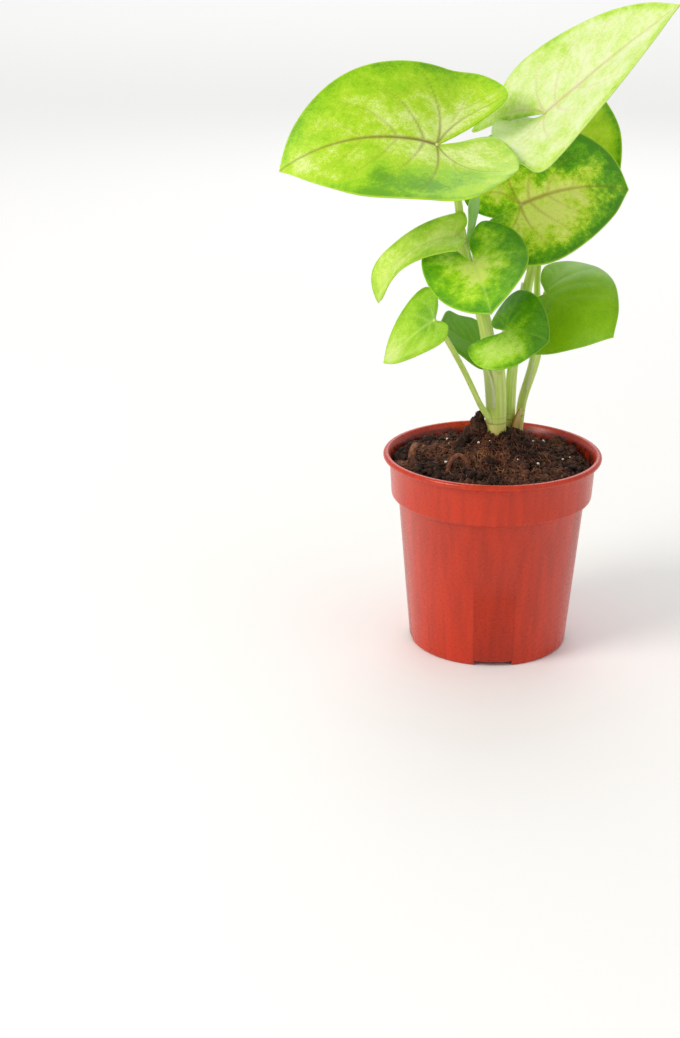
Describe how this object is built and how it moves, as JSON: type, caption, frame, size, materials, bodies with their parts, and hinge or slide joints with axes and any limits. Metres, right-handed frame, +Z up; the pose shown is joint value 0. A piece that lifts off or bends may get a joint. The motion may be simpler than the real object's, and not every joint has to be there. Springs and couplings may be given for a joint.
{
  "type": "arrowhead plant",
  "caption": "Young potted arrowhead plant: arrow-shaped green and cream leaves on pale stalks, rooted in crumbly soil in a small round nursery pot that stands on its notched foot.",
  "frame": {"origin": "Middle of the disc under the pot, on the plane that the plant stands on", "axes": "+Z up along the pot's axis, -Y towards the picture's viewer, +X to the viewer's right"},
  "size_m": [0.0993, 0.0797, 0.1749],
  "materials": {
    "pot": "thin moulded terracotta-orange plastic, satin to glossy",
    "soil": null,
    "stem": null,
    "leaf": null,
    "pale_leaf": null,
    "root": "dry brown root and bark"
  },
  "bodies": {
    "root": {"pot": "pot", "soil": "soil", "main_stem": "stem", "second_stem": "stem", "third_stem": "stem", "leaf_a": "leaf", "leaf_b": "pale_leaf", "leaf_c": "leaf", "leaf_d": "leaf", "leaf_e": "leaf", "leaf_f": "leaf", "leaf_g": "leaf", "leaf_h": "leaf", "leaf_i": "leaf", "leaf_j": "leaf", "young_leaf": "pale_leaf", "root_loop": "root", "bark_curl": "root"}
  },
  "joints": []
}
